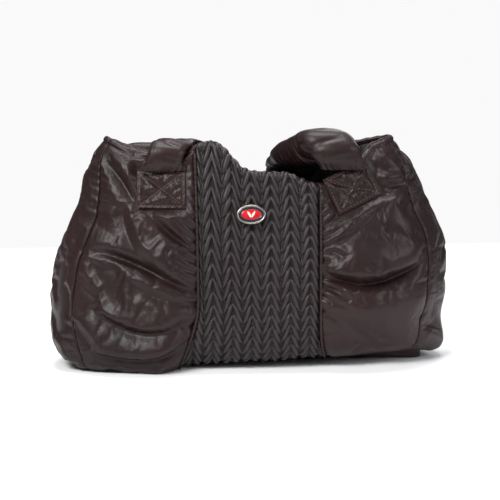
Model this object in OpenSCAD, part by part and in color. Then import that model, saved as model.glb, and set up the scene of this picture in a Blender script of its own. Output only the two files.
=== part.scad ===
// Hand warmer muff: a padded, open-topped hand pouch with gathered nylon sides, a quilted
// centre band and two padded handles that hang behind it. Millimetres, +Z up, front towards
// -Y, +X to the right, origin under the middle of the base.

/* [Body] */
// Width of the body at its belly
body_w = 400; // [360:1:420]
// Depth of the body at its belly
body_d = 136; // [120:1:150]
// Height of the two mouth corners
corner_h = 229; // [222:1:236]
// Height of the belly, where the body is widest
belly_z = 60; // [50:1:70]
// Width of the base where it meets the ground
base_w = 320; // [290:1:340]
// Depth of the base where it meets the ground
base_d = 76; // [66:1:90]
// Squareness of the plan at the base, 2 is an ellipse
base_n = 2.8; // [2.4:0.1:3.2]

/* [Mouth] */
// Width of the mouth
mouth_w = 290; // [280:1:310]
// Depth of the open mouth
mouth_d = 60; // [56:1:70]
// How far the front edge sags at its lowest
front_sag = 46; // [30:1:50]
// How far the back edge sags at its lowest
back_sag = 47; // [35:1:50]
// Height of the hem binding
hem_h = 8; // [6:1:10]
// Height of the facing inside the mouth
facing_h = 32; // [26:1:36]

/* [Layers] */
// Thickness of the shell fabric
shell_t = 1.2; // [0.8:0.1:1.6]
// Thickness of the wadding
wadding_t = 8; // [6:0.5:9]
// Thickness of the lining
lining_t = 0.8; // [0.6:0.1:1.2]
// Space between layers
layer_gap = 0.3; // [0.2:0.1:0.4]

/* [Band] */
// Half width of the quilted band on the walls
band_half = 60; // [54:1:62]
// How much wider each side of the band gets at the base
band_flare = 13; // [6:1:16]
// How far the band sits to the right of the middle on the walls
band_shift = 6; // [0:1:6]
// Radius of the piping along the band
piping_r = 1.8; // [1.2:0.1:2.2]

/* [Handles] */
// Width of a handle strap
strap_w = 48; // [44:1:48]
// Thickness of the padded strap
strap_t = 12; // [10:0.5:12]
// Thickness of the strap where it is sewn flat
tab_t = 3; // [2:0.5:3]
// Height of a sewn tab
tab_h = 38; // [32:1:38]
// Tilt of the front right tab, in degrees
right_tilt = 24; // [10:1:24]
// Radius of the front handle's turn, at the middle of the strap
front_loop_r = 44; // [42:1:46]
// Radius of the back handle's turn, at the middle of the strap
back_loop_r = 100; // [98:1:104]

/* [Badge] */
// Width of the badge
badge_w = 28.5; // [24:0.5:32]
// Height of the badge
badge_h = 19; // [16:0.5:22]
// Height of the badge's centre above the ground
badge_z = 156; // [140:1:160]

/* [Snap] */
// Radius of a magnetic snap half
snap_r = 9; // [8:0.5:10]

/* [Hidden] */

LEFT = -1;
RIGHT = 1;
FRONT = -1;
BACK = 1;
END = 0;
nylon = [0.26, 0.18, 0.18];
quilted = [0.22, 0.20, 0.19];
lining_grey = [0.16, 0.16, 0.17];
wadding_white = [0.90, 0.89, 0.86];
trim_brown = [0.18, 0.13, 0.12];
thread_brown = [0.48, 0.32, 0.26];
silver = [0.80, 0.80, 0.78];
dark_enamel = [0.10, 0.10, 0.11];
red_enamel = [0.72, 0.08, 0.10];
cream_enamel = [0.93, 0.88, 0.72];
magnet_grey = [0.25, 0.25, 0.27];

mouth_n = 2.05;
foot_x = (body_w - base_w) / 2;
foot_y = (body_d - base_d) / 2;
wall_rows = 14;
foot_rows = 5;                       // rows of a wall that lie below the belly
foot_share = foot_rows / wall_rows;
seam_share = 0.008;                  // share of a panel's width left open at each seam
side_columns = 6;
gusset_columns = 10;
wadding_off = shell_t + layer_gap;
lining_gap = 0.8;
lining_off = wadding_off + wadding_t + lining_gap;
wall_t = lining_off + lining_t;
under_hem = hem_h + 1.8;
elastic_h = 8;
elastic_t = 1.4;
under_elastic = under_hem + elastic_h + 1;

// ---- Form of the body ----

function lerp(a, b, f) = a + (b - a) * f;
function smooth(x) = let (c = max(0, min(1, x))) c * c * (3 - 2 * c);
function taper(z, power) = 1 - pow(max(0, z - belly_z) / (corner_h - belly_z), power);
function half_width(z) = lerp(mouth_w / 2, body_w / 2, taper(z, 1.8));
function half_depth(z) = lerp(mouth_d / 2, body_d / 2, taper(z, 1.6));
function squareness(z) = lerp(base_n, mouth_n, z / corner_h);

// How far each edge of the mouth has sagged, from its left corner at -1 to its right at 1.
front_edge = [[-1, 0], [-0.76, 0.25], [-0.62, 0.26], [-0.42, 0.22], [-0.27, 0.09], [-0.17, 0.2],
    [-0.08, 0.54], [0, 0.7], [0.2, 0.74], [0.33, 0.96], [0.45, 1], [0.6, 0.76], [0.69, 0.5],
    [0.83, 0.17], [1, 0]];
back_edge = [[-1, 0], [-0.77, 0.4], [-0.62, 0.47], [-0.5, 0.82], [-0.4, 1], [0.4, 1],
    [0.5, 0.8], [0.62, 0.25], [0.83, 0.11], [1, 0]];

// Height of the mouth's edge at angle b, which runs from 0 at the front's middle, past 90 at
// the side, to 180 at the back's middle.
function edge_z(side, b) = corner_h - (b < 90 ? front_sag * lookup(side * sin(b), front_edge)
                                              : back_sag * lookup(side * sin(b), back_edge));

// A point of the plan's outline, for half width w, half depth d and squareness n.
function outline(side, b, w, d, n) =
    [side * w * pow(abs(sin(b)), 2 / n), -sign(cos(b)) * d * pow(abs(cos(b)), 2 / n)];

// A point of the wall. share is 0 on the ground and 1 at the top, off is the depth below the
// outer face, and trim is how far below the mouth's edge the wall ends.
function wall(side, b, share, off, trim) = share < foot_share
    ? let (a = 90 * (1 - share / foot_share), slope = [cos(a) / foot_x, sin(a) / belly_z],
           inward = slope / norm(slope) * off, z = belly_z * (1 - sin(a)),
           p = outline(side, b, body_w / 2 - foot_x * (1 - cos(a)) - inward.x,
                       body_d / 2 - foot_y * (1 - cos(a)) - inward.x, squareness(z)))
      [p.x, p.y, z + inward.y]
    : let (z = lerp(belly_z, edge_z(side, b) - trim, (share - foot_share) / (1 - foot_share)),
           p = outline(side, b, half_width(z) - off, half_depth(z) - off, squareness(z)))
      [p.x, p.y, z];

// Height of a wall row, where the mouth's edge is at top, and half the body's width at z.
function row_z(share, top) = share < foot_share
    ? belly_z * (1 - sin(90 * (1 - share / foot_share)))
    : lerp(belly_z, top, (share - foot_share) / (1 - foot_share));
function reach(z) = z < belly_z
    ? body_w / 2 - foot_x * (1 - sqrt(1 - pow(1 - z / belly_z, 2)))
    : half_width(z);

// Angle of the band's seam, from the face's middle. The seam runs at its own x, so the angle
// depends on the height of the mouth's edge there, which is found in two steps.
function band_reach(side, z) = band_half + side * band_shift * smooth(z / 70)
    + band_flare * pow(max(0, 1 - z / 75), 2);
function band_angle(side, z) = asin(pow(band_reach(side, z) / reach(z), squareness(z) / 2));
function edge_over(side, face, b) = edge_z(side, face < 0 ? b : 180 - b) - under_hem;
function band_edge(side, face, share) = let (
    guess = band_angle(side, row_z(share, corner_h - front_sag)),
    better = band_angle(side, row_z(share, edge_over(side, face, guess))))
    band_angle(side, row_z(share, edge_over(side, face, better)));

// Angle of the seam between a panel and the gusset.
function gusset_edge(share) = let (z = row_z(share, corner_h - front_sag / 2))
    asin(pow(0.84 + 0.05 * smooth(z / 60) + 0.08 * smooth((z - 130) / 90), squareness(z) / 2));

// ---- Solids from stacked rings ----

function signed_volume(points, faces) = [for (f = faces)
    points[f[0]] * cross(points[f[1]], points[f[2]])] * [for (f = faces) 1];

// A closed solid from rings of equal, even size. Each end is closed by pairing the ring's
// first half with its second.
module skin(rings) {
    size = len(rings[0]);
    last = (len(rings) - 1) * size;
    points = [for (ring = rings) each ring];
    sides = [for (i = [0 : len(rings) - 2], k = [0 : size - 1])
        let (a = i * size + k, b = i * size + (k + 1) % size)
        each [[a, b, b + size], [a, b + size, a + size]]];
    caps = [for (k = [0 : size / 2 - 2])
        let (p = [k, k + 1, size - 2 - k, size - 1 - k])
        each [[p[0], p[2], p[1]], [p[0], p[3], p[2]],
              [last + p[0], last + p[1], last + p[2]], [last + p[0], last + p[2], last + p[3]]]];
    faces = concat(sides, caps);
    inside_out = signed_volume(points, faces) > 0;
    polyhedron(points, inside_out ? [for (f = faces) [f[2], f[1], f[0]]] : faces);
}

// One ring of a layer: its outer points, then its inner ones back again.
function layer_ring(side, b0, b1, share, off, depth, trim, columns) =
    let (bs = [for (j = [0 : columns])
        lerp(b0, b1, lerp(seam_share, 1 - seam_share, j / columns))])
    concat([for (b = bs) wall(side, b, share, off, trim)],
           [for (j = [columns : -1 : 0]) wall(side, bs[j], share, off + depth, trim)]);

// A panel between two seams. face is FRONT, BACK, or END for the gusset.
module panel(side, face, off, depth, trim, columns = side_columns) {
    skin([for (i = [0 : wall_rows])
        let (share = i / wall_rows, inner = band_edge(side, face, share), outer = gusset_edge(share),
             b0 = face < 0 ? inner : face == 0 ? outer : 180 - outer,
             b1 = face < 0 ? outer : face == 0 ? 180 - outer : 180 - inner)
        layer_ring(side, b0, b1, share, off, depth, trim, columns)]);
}

// A layer across one whole face, from corner to corner, through rows of [share, trim].
module face_layer(face, off, depth, rows, columns = 32) {
    start = face < 0 ? 0 : 180;
    angles = [for (j = [-columns / 2 : columns / 2]) 178 / columns * j];
    function at(a, row, o) = wall(a < 0 ? LEFT : RIGHT, abs(start - abs(a)), row[0], o, row[1]);
    skin([for (row = rows)
        concat([for (a = angles) at(a, row, off)],
               [for (j = [columns : -1 : 0]) at(angles[j], row, off + depth)])]);
}
module lining(face) {
    face_layer(face, lining_off, lining_t,
               [for (i = [0 : 9]) [i / 9, under_hem + facing_h]]);
}
module facing(face) {
    face_layer(face, lining_off, lining_t,
               [for (i = [2 : -1 : 0]) [1, lerp(under_hem, under_hem + facing_h - layer_gap, i / 2)]]);
}

// The U-shaped strip at the middle: down the front, under the base and up the back.
module strip(off, depth, trim, columns = 8) {
    base_rows = 4;
    function across(face, j, share, o) = let (f = lerp(-1, 1, j / columns),
        side = f < 0 ? LEFT : RIGHT, b = abs(f) * band_edge(side, face, share) * (1 - seam_share))
        wall(side, face < 0 ? b : 180 - b, share, o, trim);
    function under(j, f, o) = let (p = across(-1, j, 0, o)) [p.x, lerp(p.y, -p.y, f), p.z];
    function at(i, j, o) = i <= wall_rows
        ? across(-1, j, 1 - i / wall_rows, o)
        : i < wall_rows + base_rows
            ? under(j, (i - wall_rows) / base_rows, o)
            : across(1, j, (i - wall_rows - base_rows) / wall_rows, o);
    skin([for (i = [0 : 2 * wall_rows + base_rows])
        concat([for (j = [0 : columns]) at(i, j, off)],
               [for (j = [columns : -1 : 0]) at(i, j, off + depth)])]);
}

// A flat layer of the base, from seam to seam or across its whole width.
module base_side(side, z, depth) {
    edge = band_edge(side, FRONT, 0);
    translate([0, 0, z]) linear_extrude(depth) polygon([for (i = [0 : 16])
        let (p = wall(side, lerp(edge, 180 - edge, i / 16), 0, 0, 0))
        [p.x * 0.985 + side * 1.5, p.y * 0.985]]);
}
module base_whole(z, depth) {
    translate([0, 0, z]) linear_extrude(depth) polygon([for (i = [0 : 47])
        let (a = 7.5 * i, p = wall(a < 180 ? RIGHT : LEFT, a < 180 ? a : 360 - a, 0, 0, 0))
        [p.x, p.y] * 0.995]);
}

// The hem: a rounded strip that caps the wall's layers along one face's mouth edge.
module hem(face) {
    columns = 32;
    face_start = face < 0 ? 0 : 180;
    corner_cut = 2;
    profile = [[0, corner_cut], [0, hem_h], [wall_t, hem_h], [wall_t, corner_cut],
               [wall_t - corner_cut, 0], [corner_cut, 0]];
    skin([for (j = [0 : columns])
        let (a = lerp(-89.5, 89.5, j / columns), side = a < 0 ? LEFT : RIGHT,
             b = abs(face_start - abs(a)))
        [for (q = profile) wall(side, b, 1, q.x, q.y)]]);
}

// An elastic strip between shell and lining, round one end of the mouth.
module mouth_elastic(side) {
    off = wadding_off + 2;
    skin([for (i = [0 : 12]) let (b = lerp(50, 130, i / 12))
        [wall(side, b, 1, off, under_hem), wall(side, b, 1, off + elastic_t, under_hem),
         wall(side, b, 1, off + elastic_t, under_hem + elastic_h),
         wall(side, b, 1, off, under_hem + elastic_h)]]);
}

// A round cord swept along points.
module cord(points, r, sides = 8) {
    skin([for (i = [0 : len(points) - 1])
        let (along = points[min(i + 1, len(points) - 1)] - points[max(i - 1, 0)],
             x = cross(along, [0, 1, 0]) / norm(cross(along, [0, 1, 0])),
             y = cross(along, x) / norm(along))
        [for (k = [0 : sides - 1]) points[i] + r * (cos(360 * k / sides) * x
                                                   + sin(360 * k / sides) * y)]]);
}

// Piping along both faces of one band seam, ending clear of the ground.
module piping(side) {
    for (face = [FRONT, BACK])
        cord([for (i = [0 : 13])
            let (share = lerp(0.12, 0.985, i / 13), b = band_edge(side, face, share))
            wall(side, face < 0 ? b : 180 - b, share, -piping_r - 0.2, under_hem)], piping_r);
}

// ---- Handles ----

front_tab_x = [-89, 99.5];            // middle of the left and the right front tab
rise_x = [-89, 89];                   // where the two front rises start
bend_x = [-80, 78];                   // where they reach the bend over the mouth
// Side view of each handle's middle surface, [y, z]: the front one from its tabs over the
// mouth and down behind, the back one from its tabs up to its fold and down.
front_curve = [[-40, 196], [-40.5, 206], [-39.5, 217], [-32, 226.5], [-20, 229.5], [-5, 226],
    [18, 214.5], [34, 202.5], [47, 191], [58, 172], [67, 146], [73.5, 112], [77.5, 76], [77.5, 30]];
back_curve = [[37.5, 197], [38, 203], [40, 210], [46, 216], [52, 211], [54, 200], [55.5, 185],
    [57.5, 165], [62, 140], [69, 110], [78.5, 80], [81.5, 50], [81.5, 10]];
function length_to(curve, i) = i == 0 ? 0 : length_to(curve, i - 1) + norm(curve[i] - curve[i - 1]);
function strap_tables(curve) = let (at = [for (i = [0 : len(curve) - 1]) length_to(curve, i)])
    [[for (i = [0 : len(curve) - 1]) [at[i], curve[i].x]],
     [for (i = [0 : len(curve) - 1]) [at[i], curve[i].y]]];
front_strap = strap_tables(front_curve);
back_strap = strap_tables(back_curve);
front_bend = length_to(front_curve, 4);   // where the front handle leaves its rises
over_bend = length_to(front_curve, 8);    // where it turns down behind the back edge
back_bend = length_to(back_curve, 3);     // where the back handle folds down
bend_clear = strap_t / 2 + 0.8;

// A point at x, s along a handle's side view and n above its middle surface.
function strap_point(strap, x, s, n) = let (
    before = [lookup(s - 3, strap[0]), lookup(s - 3, strap[1])],
    after = [lookup(s + 3, strap[0]), lookup(s + 3, strap[1])],
    t = (after - before) / norm(after - before))
    [x, lookup(s, strap[0]) - t.y * n, lookup(s, strap[1]) + t.x * n];

// The strap's section, left edge to right edge, over its upper side and back along its lower.
strap_upper = [[-0.5, 0], [-0.46, 0.36], [-0.3, 0.5], [0.3, 0.5], [0.46, 0.36], [0.5, 0]];
strap_lower = [for (i = [4 : -1 : 1]) [strap_upper[i].x, -strap_upper[i].y]];
function half_shell(w, t, up) = concat(
    [for (q = strap_upper) [q.x * w, up * (q.y * t + 0.1)]],
    [for (i = [5 : -1 : 0]) let (q = strap_upper[i])
        [q.x * (w - 2 * shell_t), up * (q.y * max(t - 2 * shell_t, 0.2) + 0.1)]]);
function full_section(w, t) = [for (q = concat(strap_upper, strap_lower)) [q.x * w, q.y * t]];

// A stretch of strap along [x, s, thickness] points. half is 0 for the full section, 1 for a
// shell over its upper side and -1 for one over its lower side.
module strap_run(strap, path, w = strap_w, half = 0) {
    skin([for (i = [0 : len(path) - 1])
        let (step = path[min(i + 1, len(path) - 1)] - path[max(i - 1, 0)],
             u = [step.y, -step.x] / norm([step.x, step.y]), t = path[i].z)
        [for (q = half == 0 ? full_section(w, t) : half_shell(w, t, half))
            strap_point(strap, path[i].x + u.x * q.x, path[i].y + u.y * q.x, q.y)]]);
}

// Share of a sideways shift at f of the way, with straight runs at both ends.
function glide(f) = smooth(1.5 * f - 0.25);
rise_start = 5;

// The padded rise from a tab to its bend, thickening from the sewn end to t.
module rise(strap, x_tab, x_bend, bend, t) {
    strap_run(strap, [for (i = [0 : 8]) let (f = i / 8)
        [lerp(x_tab, x_bend, glide(f)), lerp(rise_start, bend - bend_clear, f),
         lerp(tab_t, t, smooth(f * 1.6))]]);
}

// Start of a stretch that turns about a bend, rounded as [distance, thickness] steps.
round_start = [for (d = [-5.9, -5, -3, 0]) [d * strap_t / 12,
    2 * sqrt(pow(strap_t / 2, 2) - pow(d * strap_t / 12, 2))]];

// The stretch over the mouth, which turns about the front bend.
module bridge(side) {
    x_front = bend_x[side < 0 ? 0 : 1];
    strap_run(front_strap, concat([for (d = round_start) [x_front, front_bend + d.x, d.y]],
        [for (i = [1 : 9]) let (f = i / 9)
            [lerp(x_front, side * front_loop_r, glide(f)),
             lerp(front_bend, over_bend - bend_clear, f), strap_t]]));
}

// A hanging loop of radius r, drop below its bend. half is as for strap_run, where 0 makes the
// core inside the cover.
module loop(strap, bend, r, drop, half) {
    less = half == 0 ? 2 * shell_t + core_gap : 0;
    arm = concat(half == 0 ? [[0, strap_t]] : round_start,
                 [for (f = [0.1, 0.25, 0.5, 0.75, 0.95]) [drop * f, strap_t]]);
    last = len(arm) - 1;
    strap_run(strap, concat([for (p = arm) [-r, bend + p.x, p.y - less]],
        [for (i = [0 : 14]) let (a = 180 * (1 + i / 14))
            [r * cos(a), bend + drop - r * sin(a), strap_t - less]],
        [for (i = [last : -1 : 0]) [r, bend + arm[i].x, arm[i].y - less]]), strap_w - less, half);
}
front_drop = 48;                      // from each bend down to the middle of its turn
back_drop = 72;
core_gap = 3.2;

// A point on a face's wall at x and z, off below its outer face.
function on_wall(face, x, z, off) = let (n = squareness(z),
    b = asin(pow(abs(x) / half_width(z), n / 2)))
    [x, face * (half_depth(z) - off) * pow(cos(b), 2 / n), z];

// Each sewn tab as [face, x, z, tilt].
tab_z = 180;
tabs = [[FRONT, front_tab_x[0], tab_z, 0], [FRONT, front_tab_x[1], tab_z, right_tilt],
        [BACK, -back_loop_r, tab_z, 0], [BACK, back_loop_r, tab_z, 0]];
tab_gap = 0.3;                        // between the wall and a tab, and between tab and thread
function tab_point(tab, u, v, off) = let (a = tab[3])
    on_wall(tab[0], tab[1] + u * cos(a) - v * sin(a), tab[2] + u * sin(a) + v * cos(a), off);

// A strap end sewn flat on the wall.
module sewn_tab(tab) {
    columns = 6;
    across = [for (j = [0 : columns]) lerp(-strap_w / 2, strap_w / 2, j / columns)];
    skin([for (i = [0 : 4]) let (v = lerp(-tab_h / 2, tab_h / 2, i / 4))
        concat([for (u = across) tab_point(tab, u, v, -tab_gap)],
               [for (j = [columns : -1 : 0]) tab_point(tab, across[j], v, -tab_gap - tab_t)])]);
}

// The box-and-cross stitching on a tab.
module stitch_line(tab, from, to) {
    r = 0.5;
    cord([for (i = [0 : 4]) tab_point(tab, lerp(from.x, to.x, i / 4), lerp(from.y, to.y, i / 4),
                                      -2 * tab_gap - tab_t - r)], r, 4);
}
module stitching(tab) {
    inset = 3;
    x = strap_w / 2 - inset;
    z = tab_h / 2 - inset;
    for (v = [-z, z]) stitch_line(tab, [-x, v], [x, v]);
    for (u = [-x, x]) stitch_line(tab, [u, 1 - z], [u, z - 1]);
    stitch_line(tab, [-x + 2, -z + 2], [x - 2, z - 2]);
    for (h = [-1, 1]) stitch_line(tab, [h * (x - 2), -h * (z - 2)], [h * 2, -h * 1.8]);
}

// ---- Badge and snap ----

function oval(w, h, points = 48) = [for (i = [0 : points - 1])
    let (a = 360 * i / points) [w / 2 * cos(a), h / 2 * sin(a)]];
badge_lean = atan((half_depth(badge_z - 10) - half_depth(badge_z + 10)) / 20);
badge_x = -2;
badge_gap = 0.5;                      // between the wall and the badge's back
badge_rim = 1.8;
badge_base = 1.2;
enamel_t = 0.7;

// Puts children's +Z on the front wall's outward normal at the badge.
module on_badge() {
    translate([badge_x, -half_depth(badge_z) - badge_gap, badge_z])
        rotate([90 - badge_lean, 0, 0]) children();
}
// The frame's rim stands frame_lip over its floor. The red field lies inside a dark ring.
frame_lip = 1.2;
red_w = badge_w - 9;
red_h = badge_h - 7.4;
emblem_t = 0.5;
piece_gap = 0.1;
module badge_frame() {
    color(silver) on_badge() difference() {
        linear_extrude(badge_base + frame_lip) polygon(oval(badge_w, badge_h));
        translate([0, 0, badge_base]) linear_extrude(2 * frame_lip)
            polygon(oval(badge_w - 2 * badge_rim, badge_h - 2 * badge_rim));
    }
}
module badge_dark_enamel() {
    color(dark_enamel) on_badge() translate([0, 0, badge_base]) linear_extrude(enamel_t) difference() {
        polygon(oval(badge_w - 2 * badge_rim - piece_gap, badge_h - 2 * badge_rim - piece_gap));
        polygon(oval(red_w, red_h));
    }
}
module badge_red_enamel() {
    color(red_enamel) on_badge() translate([0, 0, badge_base]) linear_extrude(enamel_t)
        polygon(oval(red_w - piece_gap, red_h - piece_gap));
}
// Two leaves that meet in a point, as in the band's quilting.
leaf = [[0.15, -3.4], [3.6, 0.6], [3.9, 3.2], [1.4, 1.6], [0.15, -1]];
module badge_emblem() {
    color(cream_enamel) on_badge() translate([0, 0, badge_base + enamel_t]) linear_extrude(emblem_t)
        for (side = [LEFT, RIGHT]) polygon([for (p = leaf) [side * p.x, p.y]]);
}

// Two prongs hold the badge through the band, over a washer in the wadding's outer face.
prong_x = 8;
prong_r = 0.9;
prong_turn = 0.4;
washer_w = 24;
washer_h = 10;
washer_t = 0.6;
washer_back = 3;
module at_prongs(r, h) {
    on_badge() for (x = [-prong_x, prong_x]) translate([x, 0, -h]) cylinder(r = r, h = h, $fn = 24);
}
module badge_prongs() {
    color(silver) translate([0, piece_gap, 0]) at_prongs(prong_r, washer_back + prong_turn);
}
module badge_washer() {
    color(silver) difference() {
        on_badge() translate([0, 0, -washer_back]) linear_extrude(washer_t) polygon(oval(washer_w, washer_h));
        at_prongs(prong_r + piece_gap, washer_back + washer_t);
    }
}
module badge_room() {
    on_badge() translate([0, 0, -washer_back - 1]) linear_extrude(washer_back + 1)
        polygon(oval(washer_w + 2, washer_h + 2, 16));
}

// Puts children's +Z at the mouth's inside, on the facing of one face.
snap_z = 162;
snap_t = 2.6;
plate_t = 1.2;
stud_r = 2.9;
magnet_r = 6.3;
magnet_t = 0.9;
module on_facing(face) {
    lean = atan((half_depth(snap_z - 8) - half_depth(snap_z + 8)) / 16);
    translate([0, face * (half_depth(snap_z) - wall_t - 0.4), snap_z])
        rotate([face * (90 + lean), 0, 0]) children();
}
module snap_socket() {
    color(silver) on_facing(BACK) difference() {
        cylinder(r = snap_r, h = snap_t, $fn = 64);
        translate([0, 0, magnet_t + piece_gap]) cylinder(r = stud_r + 0.3, h = snap_t, $fn = 48);
        translate([0, 0, -1]) cylinder(r = magnet_r + piece_gap, h = 1 + magnet_t, $fn = 48);
    }
}
module snap_magnet() {
    color(magnet_grey) on_facing(BACK) translate([0, 0, -piece_gap / 2])
        cylinder(r = magnet_r, h = magnet_t, $fn = 48);
}
module snap_stud() {
    color(silver) on_facing(FRONT) {
        cylinder(r = snap_r, h = plate_t, $fn = 64);
        cylinder(r = stud_r, h = snap_t, $fn = 48);
    }
}

// Each snap half's washer lies behind the facing, in the wadding's inner face.
snap_washer_r = 8;
snap_washer_back = lining_t + 1.7;
module snap_washers() {
    color(silver) for (face = [FRONT, BACK]) on_facing(face) translate([0, 0, -snap_washer_back])
        cylinder(r = snap_washer_r, h = washer_t, $fn = 48);
}
module snap_room() {
    for (face = [FRONT, BACK]) on_facing(face) translate([0, 0, -snap_washer_back - 0.3])
        cylinder(r = snap_washer_r + 0.5, h = snap_washer_back + 0.3, $fn = 24);
}

// ---- Shell, wadding and lining ----

module quilted_band() {
    color(quilted) difference() {
        strip(0, shell_t, under_hem);
        at_prongs(prong_r + 2 * piece_gap, washer_back);
    }
}
module band_wadding() {
    color(wadding_white) difference() {
        strip(wadding_off, wadding_t, under_elastic);
        badge_room();
        snap_room();
    }
}
module shell_panel(side, face, columns = side_columns) {
    color(nylon) panel(side, face, 0, shell_t, under_hem, columns);
}
module panel_wadding(side, face, columns = side_columns) {
    color(wadding_white) panel(side, face, wadding_off, wadding_t, under_elastic, columns);
}
module front_left_panel() { shell_panel(LEFT, FRONT); }
module front_right_panel() { shell_panel(RIGHT, FRONT); }
module back_left_panel() { shell_panel(LEFT, BACK); }
module back_right_panel() { shell_panel(RIGHT, BACK); }
module front_left_wadding() { panel_wadding(LEFT, FRONT); }
module front_right_wadding() { panel_wadding(RIGHT, FRONT); }
module back_left_wadding() { panel_wadding(LEFT, BACK); }
module back_right_wadding() { panel_wadding(RIGHT, BACK); }
module left_gusset() { shell_panel(LEFT, END, gusset_columns); }
module right_gusset() { shell_panel(RIGHT, END, gusset_columns); }
module left_gusset_wadding() { panel_wadding(LEFT, END, gusset_columns); }
module right_gusset_wadding() { panel_wadding(RIGHT, END, gusset_columns); }
module left_base_panel() { color(nylon) base_side(LEFT, 0, shell_t); }
module right_base_panel() { color(nylon) base_side(RIGHT, 0, shell_t); }
module base_wadding() {
    color(wadding_white) for (side = [LEFT, RIGHT]) base_side(side, wadding_off, wadding_t);
}
module lining_front() { color(lining_grey) lining(FRONT); }
module lining_back() { color(lining_grey) lining(BACK); }
module lining_floor() { color(lining_grey) base_whole(lining_off, lining_t); }

// ---- Trim ----

module front_facing() { color(nylon) facing(FRONT); }
module back_facing() { color(nylon) facing(BACK); }
module front_hem() { color(trim_brown) hem(FRONT); }
module back_hem() { color(trim_brown) hem(BACK); }
module left_mouth_elastic() { color(trim_brown) mouth_elastic(LEFT); }
module right_mouth_elastic() { color(trim_brown) mouth_elastic(RIGHT); }
module left_band_piping() { color(trim_brown) piping(LEFT); }
module right_band_piping() { color(trim_brown) piping(RIGHT); }

// ---- Parts of the handles ----

module front_left_tab() { color(nylon) sewn_tab(tabs[0]); }
module front_right_tab() { color(nylon) sewn_tab(tabs[1]); }
module back_left_tab() { color(nylon) sewn_tab(tabs[2]); }
module back_right_tab() { color(nylon) sewn_tab(tabs[3]); }
module front_tab_stitching() { color(thread_brown) for (i = [0, 1]) stitching(tabs[i]); }
module back_tab_stitching() { color(thread_brown) for (i = [2, 3]) stitching(tabs[i]); }

module front_rise(i) { color(nylon) rise(front_strap, rise_x[i], bend_x[i], front_bend, strap_t); }
module back_rise(x) { color(nylon) rise(back_strap, x, x, back_bend, 2 * tab_t); }
module front_left_rise() { front_rise(0); }
module front_right_rise() { front_rise(1); }
module back_left_rise() { back_rise(-back_loop_r); }
module back_right_rise() { back_rise(back_loop_r); }
module front_left_bridge() { color(nylon) bridge(LEFT); }
module front_right_bridge() { color(nylon) bridge(RIGHT); }

UPPER = 1;
LOWER = -1;
CORE = 0;
module front_loop(half) { loop(front_strap, over_bend, front_loop_r, front_drop, half); }
module back_loop(half) { loop(back_strap, back_bend, back_loop_r, back_drop, half); }
module front_loop_top() { color(nylon) front_loop(UPPER); }
module front_loop_underside() { color(nylon) front_loop(LOWER); }
module front_loop_core() { color(wadding_white) front_loop(CORE); }
module back_loop_top() { color(nylon) back_loop(UPPER); }
module back_loop_underside() { color(nylon) back_loop(LOWER); }
module back_loop_core() { color(wadding_white) back_loop(CORE); }

// ---- Nodes ----

quilted_band();
band_wadding();
front_left_panel();
front_right_panel();
back_left_panel();
back_right_panel();
front_left_wadding();
front_right_wadding();
back_left_wadding();
back_right_wadding();
left_gusset();
right_gusset();
left_gusset_wadding();
right_gusset_wadding();
left_base_panel();
right_base_panel();
base_wadding();
lining_front();
lining_back();
lining_floor();
front_facing();
back_facing();
front_hem();
back_hem();
left_mouth_elastic();
right_mouth_elastic();
left_band_piping();
right_band_piping();
front_left_tab();
front_right_tab();
front_left_rise();
front_right_rise();
front_left_bridge();
front_right_bridge();
front_loop_top();
front_loop_underside();
front_loop_core();
back_left_tab();
back_right_tab();
back_left_rise();
back_right_rise();
back_loop_top();
back_loop_underside();
back_loop_core();
front_tab_stitching();
back_tab_stitching();
badge_frame();
badge_dark_enamel();
badge_red_enamel();
badge_emblem();
badge_prongs();
badge_washer();
snap_socket();
snap_magnet();
snap_stud();
snap_washers();
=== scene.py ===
"""Looks of the hand warmer muff: gathered nylon puffs, a leaf-quilted band, padded handles and a badge.

Shapes are worked out in millimetres, in the part's own frame, and turned into metres as each mesh is made.
"""
import math

import bpy
import numpy as np
from mathutils import Matrix, Vector, noise


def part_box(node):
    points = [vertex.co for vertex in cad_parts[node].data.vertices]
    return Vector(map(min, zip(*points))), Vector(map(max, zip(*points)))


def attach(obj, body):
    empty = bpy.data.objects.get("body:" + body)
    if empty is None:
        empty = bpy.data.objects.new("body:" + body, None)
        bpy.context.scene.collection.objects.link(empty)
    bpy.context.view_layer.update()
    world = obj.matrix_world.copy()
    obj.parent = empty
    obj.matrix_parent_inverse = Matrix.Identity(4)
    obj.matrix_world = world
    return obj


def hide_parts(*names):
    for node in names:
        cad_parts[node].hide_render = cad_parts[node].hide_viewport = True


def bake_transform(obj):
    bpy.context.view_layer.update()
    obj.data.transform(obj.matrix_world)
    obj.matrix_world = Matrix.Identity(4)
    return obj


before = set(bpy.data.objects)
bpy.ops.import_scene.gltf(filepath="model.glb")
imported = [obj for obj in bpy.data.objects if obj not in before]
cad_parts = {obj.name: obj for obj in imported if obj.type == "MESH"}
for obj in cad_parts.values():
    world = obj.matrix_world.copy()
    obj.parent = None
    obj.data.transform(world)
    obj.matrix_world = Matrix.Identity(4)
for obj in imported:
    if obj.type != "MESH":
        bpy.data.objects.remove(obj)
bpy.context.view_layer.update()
scene = bpy.context.scene
MM = 0.001


def edges(node):
    """Lowest and highest corner of a CAD node, in millimetres."""
    low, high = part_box(node)
    return [v / MM for v in low], [v / MM for v in high]


# ---- Form of the body, in millimetres ----

BODY_X = edges("right_gusset")[1][0]        # half the width at the belly
BODY_Y = edges("quilted_band")[1][1]        # half the depth at the belly
TOP_Z = edges("back_hem")[1][2]             # height of the mouth's corners
BELLY_Z = 60
FOOT_X = BODY_X - 160                       # how far the ends come in at the base
FOOT_Y = 30
MOUTH_X = 145
MOUTH_Y = 30
FOOT = 5 / 14                               # share of a wall that lies below the belly
WALL_T = 11
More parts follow.
